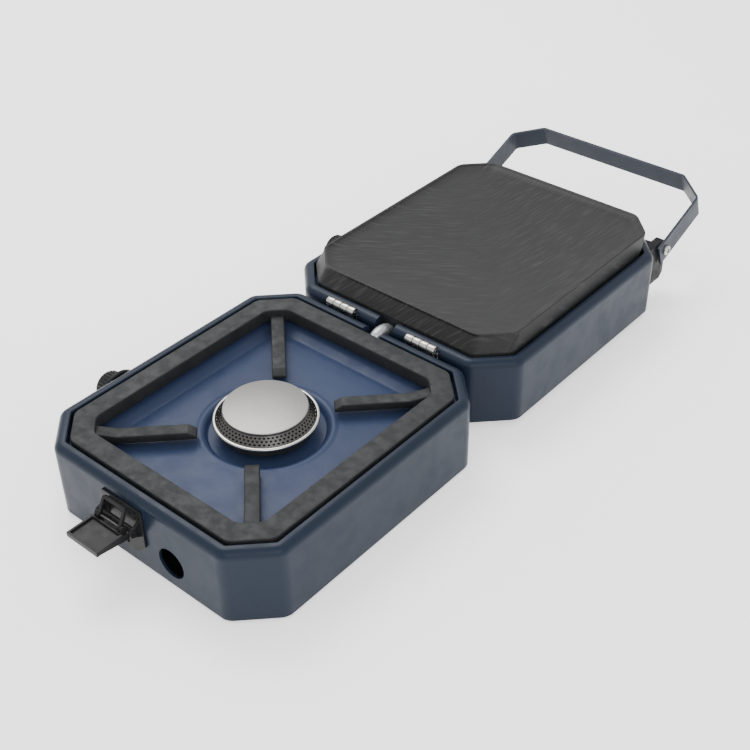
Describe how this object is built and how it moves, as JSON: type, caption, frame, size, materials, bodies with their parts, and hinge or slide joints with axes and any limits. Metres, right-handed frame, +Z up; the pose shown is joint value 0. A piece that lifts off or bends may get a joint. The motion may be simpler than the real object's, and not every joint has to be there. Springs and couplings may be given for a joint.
{
  "type": "folding camp grill",
  "caption": "Two-burner folding camp grill: base half with burner and cast pan support, lid half with a griddle plate over its own burner, carrying handle, latch and gas line between them",
  "frame": {"origin": "on the table under the middle of the base half, level with the bottoms of the feet", "axes": "+Z up, +Y from the base half over the hinges to the lid half, +X along the hinges to the side without knobs"},
  "size_m": [0.2715, 0.7108, 0.0919],
  "materials": {
    "navy_paint": "satin",
    "cast_iron": "rough",
    "stainless": "satin",
    "black_metal": "gloss",
    "zinc": "satin",
    "black_plastic": "gloss",
    "brass": "satin",
    "steel_tube": "satin",
    "rubber": "matte"
  },
  "bodies": {
    "base": {"base_bottom_cover": "black_metal", "base_burner_cap": "stainless", "base_burner_cup": "cast_iron", "base_burner_ring": "stainless", "base_burner_skirt": "stainless", "base_case": "navy_paint", "base_cover_screws": "zinc", "base_feet": "rubber", "base_gas_jet": "brass", "base_gas_pipe": "brass", "base_gas_valve": "brass", "base_hinge_leaves": "stainless", "base_hinge_rivets": "stainless", "base_hose_ferrule": "stainless", "base_hose_fitting": "brass", "base_mixer_tube": "steel_tube", "base_pan_support": "cast_iron", "base_tray": "navy_paint", "base_tray_nuts": "zinc", "gas_hose": "rubber", "gas_tee": "brass", "hinge_pins": "stainless", "hose_feed_pipe": "brass", "inlet_connector": "brass", "latch_lever_pin": "black_metal", "latch_plate": "black_metal", "latch_rivets": "black_metal"},
    "lid": {"lid_bottom_cover": "black_metal", "lid_burner_cap": "stainless", "lid_burner_cup": "cast_iron", "lid_burner_ring": "stainless", "lid_burner_skirt": "stainless", "lid_case": "navy_paint", "lid_cover_screws": "zinc", "lid_feet": "rubber", "lid_gas_jet": "brass", "lid_gas_pipe": "brass", "lid_gas_valve": "brass", "lid_hinge_leaves": "stainless", "lid_hinge_rivets": "stainless", "lid_hose_ferrule": "stainless", "lid_hose_fitting": "brass", "lid_mixer_tube": "steel_tube", "lid_pan_support": "cast_iron", "lid_tray": "navy_paint", "lid_tray_nuts": "zinc", "griddle": "cast_iron", "handle_brackets": "black_metal", "handle_screws": "stainless", "handle_washers": "stainless", "latch_catch": "black_metal", "catch_rivets": "black_metal"},
    "handle": {"handle_strap": "navy_paint"},
    "lever": {"latch_lever": "black_metal", "latch_loop_pin": "black_metal"},
    "loop": {"latch_loop": "black_metal"},
    "base_valve_knob": {"base_knob": "black_plastic", "base_valve_spindle": "zinc"},
    "lid_valve_knob": {"lid_knob": "black_plastic", "lid_valve_spindle": "zinc"}
  },
  "joints": [
    {"name": "lid_fold", "type": "hinge", "parent": "base", "child": "lid", "pos_m": [0, 0.1444, 0.07225], "axis": [1, 0, 0], "range_deg": [0, 145], "deforming": ["gas_hose"]},
    {"name": "handle_swing", "type": "hinge", "parent": "lid", "child": "handle", "pos_m": [0, 0.4433, 0.0507], "axis": [1, 0, 0], "range_deg": [-45, 66]},
    {"name": "latch_lever_turn", "type": "hinge", "parent": "base", "child": "lever", "pos_m": [-0.012, -0.1495, 0.046], "axis": [1, 0, 0], "range_deg": [0, 82]},
    {"name": "latch_loop_turn", "type": "hinge", "parent": "lever", "child": "loop", "pos_m": [-0.012, -0.1555, 0.0508], "axis": [1, 0, 0], "range_deg": [-61.5, 0]},
    {"name": "base_knob_turn", "type": "hinge", "parent": "base", "child": "base_valve_knob", "pos_m": [-0.13, -0.046, 0.049], "axis": [1, 0, 0], "range_deg": [0, 270]},
    {"name": "lid_knob_turn", "type": "hinge", "parent": "lid", "child": "lid_valve_knob", "pos_m": [-0.13, 0.2428, 0.049], "axis": [1, 0, 0], "range_deg": [0, 270]}
  ],
  "couplings": [
    {"joint": "latch_loop_turn", "follows": "latch_lever_turn", "ratio": -0.75}
  ]
}
